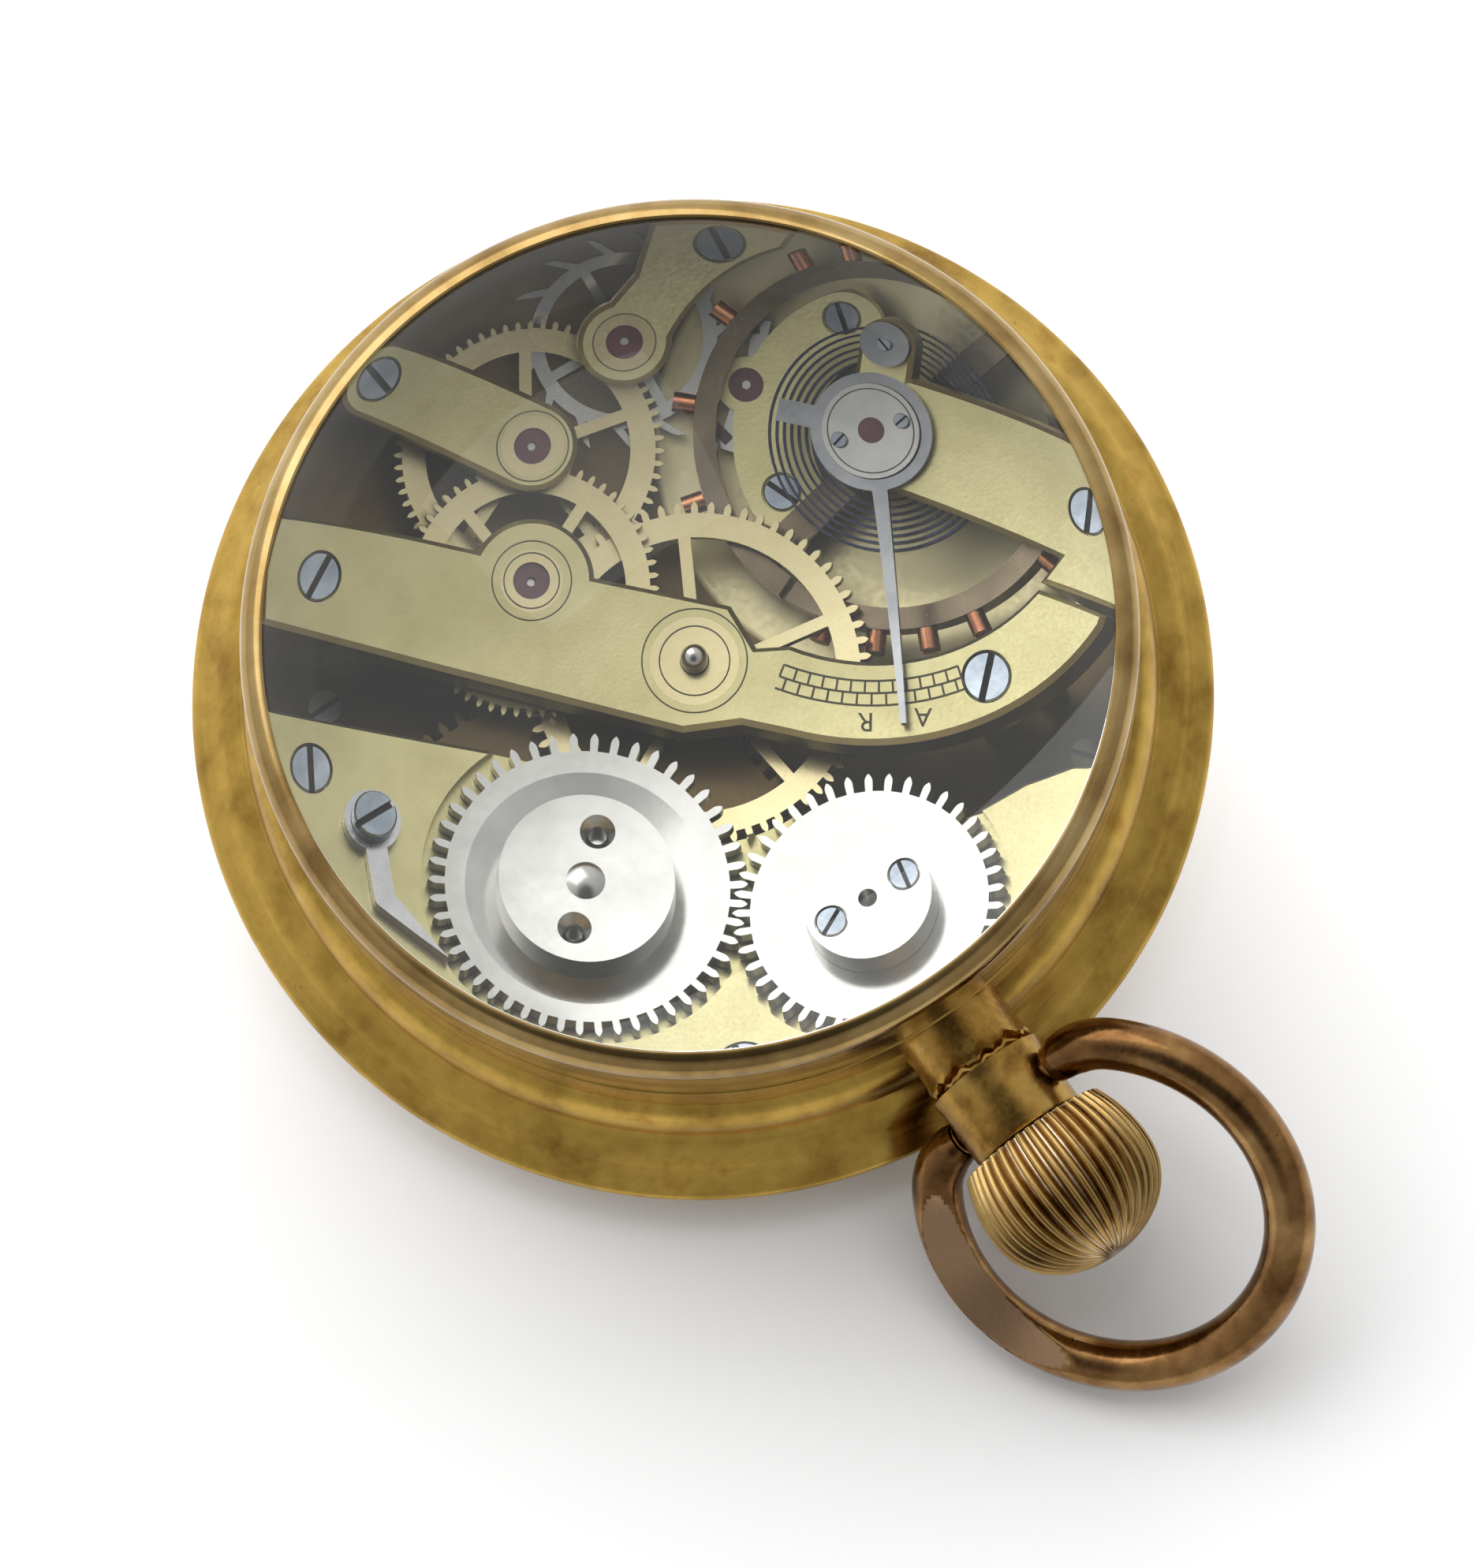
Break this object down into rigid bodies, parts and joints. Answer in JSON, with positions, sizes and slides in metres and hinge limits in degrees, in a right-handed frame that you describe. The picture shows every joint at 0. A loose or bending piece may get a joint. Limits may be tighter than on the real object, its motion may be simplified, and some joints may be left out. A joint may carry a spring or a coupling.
{
  "type": "desk watch with magnifying dome",
  "caption": "Round brass desk watch lying on its front bezel, a thick domed glass showing the lever movement at the back, with fluted crown, pendant and swinging bow.",
  "frame": {"origin": "under the middle of the whole outline from the flange to the far side of the bow, in the plane of the front rim that the clock lies on", "axes": "+Z along the case axis towards the domed glass, -Y along the pendant and crown"},
  "size_m": [0.06, 0.0804, 0.0341],
  "materials": {
    "case_brass": "aged, hand polished",
    "bezel_brass": "aged, smooth",
    "crown_brass": "fluted, worn",
    "bow_bronze": "dark, worn",
    "glass": "clear polished",
    "gilt_brass": "frosted gilt",
    "setting_brass": "polished",
    "polished_steel": "polished",
    "plain_steel": "fine ground",
    "screw_steel": "faintly blued",
    "spring_steel": "blued",
    "balance_bronze": "polished",
    "screw_copper": "polished",
    "ruby": "polished",
    "dial_enamel": "glossy enamel",
    "blued_steel": "blued"
  },
  "bodies": {
    "case": {"case_body": "case_brass", "back_bezel": "bezel_brass", "magnifier": "glass", "front_bezel": "case_brass", "front_glass": "glass", "pendant": "case_brass", "setting_lever": "plain_steel", "main_plate": "gilt_brass", "train_bridge": "gilt_brass", "barrel_bridge": "gilt_brass", "fourth_cock": "gilt_brass", "escape_cock": "gilt_brass", "pallet_bridge": "gilt_brass", "balance_cock": "gilt_brass", "bridge_screws": "screw_steel", "small_screws": "screw_steel", "tiny_screws": "screw_steel", "case_screws": "screw_steel", "jewel_settings": "setting_brass", "jewels": "ruby", "centre_bush": "setting_brass", "hairspring": "spring_steel", "stud_holder": "polished_steel", "balance_cap": "polished_steel", "crown_wheel_core": "polished_steel", "dial": "dial_enamel"},
    "bow_ring": {"bow": "bow_bronze"},
    "clutch": {"clutch_wheel": "plain_steel", "winding_pinion": "plain_steel"},
    "crown_stem": {"crown": "crown_brass", "winding_stem": "plain_steel"},
    "crown_gear": {"crown_wheel": "polished_steel"},
    "ratchet": {"ratchet_wheel": "polished_steel", "barrel_arbor": "plain_steel"},
    "barrel": {"barrel_drum": "gilt_brass", "barrel_cover": "gilt_brass", "mainspring": "spring_steel"},
    "centre": {"centre_wheel": "gilt_brass", "centre_pinion": "plain_steel", "cannon_pinion": "plain_steel", "minute_hand": "blued_steel"},
    "third": {"third_wheel": "gilt_brass", "third_pinion": "plain_steel"},
    "fourth": {"fourth_wheel": "gilt_brass", "fourth_pinion": "plain_steel", "seconds_hand": "blued_steel"},
    "escape": {"escape_wheel": "plain_steel", "escape_pinion": "plain_steel"},
    "minute_work": {"minute_wheel": "gilt_brass"},
    "hour_work": {"hour_wheel": "gilt_brass", "hour_hand": "blued_steel"},
    "setting_work": {"setting_wheel": "plain_steel"},
    "lever": {"pallet_fork": "plain_steel", "pallet_stones": "ruby"},
    "oscillator": {"balance_wheel": "balance_bronze", "balance_screws": "screw_copper", "balance_staff": "plain_steel", "roller": "plain_steel"},
    "index": {"regulator": "polished_steel"},
    "pawl": {"click": "polished_steel"}
  },
  "joints": [
    {"name": "bow_swing", "type": "hinge", "parent": "case", "child": "bow_ring", "pos_m": [0, -0.02084, 0.011], "axis": [0.8271, 0, 0.5621], "range_deg": [-130, 70]},
    {"name": "crown_turn", "type": "hinge", "parent": "case", "child": "clutch", "pos_m": [0, 0.01016, 0.011], "axis": [0, -1, 0], "continuous": true},
    {"name": "crown_pull", "type": "slide", "parent": "clutch", "child": "crown_stem", "axis": [0, -1, 0], "range_m": [0, 0.0009]},
    {"name": "crown_wheel_turn", "type": "hinge", "parent": "case", "child": "crown_gear", "pos_m": [0, -0.00382, 0.013], "axis": [0, 0, 1], "continuous": true},
    {"name": "ratchet_turn", "type": "hinge", "parent": "case", "child": "ratchet", "pos_m": [-0.00996, 0.00447, 0.013], "axis": [0, 0, 1], "continuous": true},
    {"name": "fourth_turn", "type": "hinge", "parent": "case", "child": "fourth", "pos_m": [-0.00022, 0.02185, 0.01], "axis": [0, 0, 1], "continuous": true},
    {"name": "escape_turn", "type": "hinge", "parent": "case", "child": "escape", "pos_m": [0.00559, 0.02337, 0.009], "axis": [0, 0, 1], "continuous": true},
    {"name": "third_turn", "type": "hinge", "parent": "case", "child": "third", "pos_m": [-0.00365, 0.01705, 0.011], "axis": [0, 0, 1], "continuous": true},
    {"name": "centre_turn", "type": "hinge", "parent": "case", "child": "centre", "pos_m": [0, 0.01016, 0.011], "axis": [0, 0, 1], "continuous": true},
    {"name": "barrel_turn", "type": "hinge", "parent": "case", "child": "barrel", "pos_m": [-0.00996, 0.00447, 0.01], "axis": [0, 0, 1], "continuous": true},
    {"name": "minute_work_turn", "type": "hinge", "parent": "case", "child": "minute_work", "pos_m": [0, 0.0056, 0.0065], "axis": [0, 0, 1], "continuous": true},
    {"name": "hour_turn", "type": "hinge", "parent": "case", "child": "hour_work", "pos_m": [0, 0.01016, 0.006], "axis": [0, 0, 1], "continuous": true},
    {"name": "setting_turn", "type": "hinge", "parent": "case", "child": "setting_work", "pos_m": [0, -0.00162, 0.0065], "axis": [0, 0, 1], "continuous": true},
    {"name": "lever_swing", "type": "hinge", "parent": "case", "child": "lever", "pos_m": [0.00842, 0.01901, 0.0091], "axis": [0, 0, 1], "range_deg": [-4, 4]},
    {"name": "balance_swing", "type": "hinge", "parent": "case", "child": "oscillator", "pos_m": [0.01214, 0.01393, 0.01], "axis": [0, 0, 1], "range_deg": [-270, 270]},
    {"name": "regulator_set", "type": "hinge", "parent": "case", "child": "index", "pos_m": [0.01214, 0.01393, 0.0137], "axis": [0, 0, 1], "range_deg": [-15, 15]},
    {"name": "click_lift", "type": "hinge", "parent": "case", "child": "pawl", "pos_m": [-0.01625, 0.0127, 0.0136], "axis": [0, 0, 1], "range_deg": [-8, 0]}
  ],
  "couplings": [
    {"joint": "crown_wheel_turn", "follows": "crown_turn", "ratio": -0.38095},
    {"joint": "ratchet_turn", "follows": "crown_turn", "ratio": 0.33333},
    {"joint": "escape_turn", "follows": "fourth_turn", "ratio": -8},
    {"joint": "third_turn", "follows": "fourth_turn", "ratio": -0.13333},
    {"joint": "centre_turn", "follows": "fourth_turn", "ratio": 0.016667},
    {"joint": "barrel_turn", "follows": "fourth_turn", "ratio": -0.0020833},
    {"joint": "minute_work_turn", "follows": "fourth_turn", "ratio": -0.0055556},
    {"joint": "hour_turn", "follows": "fourth_turn", "ratio": 0.0013889},
    {"joint": "setting_turn", "follows": "fourth_turn", "ratio": 0.005}
  ]
}
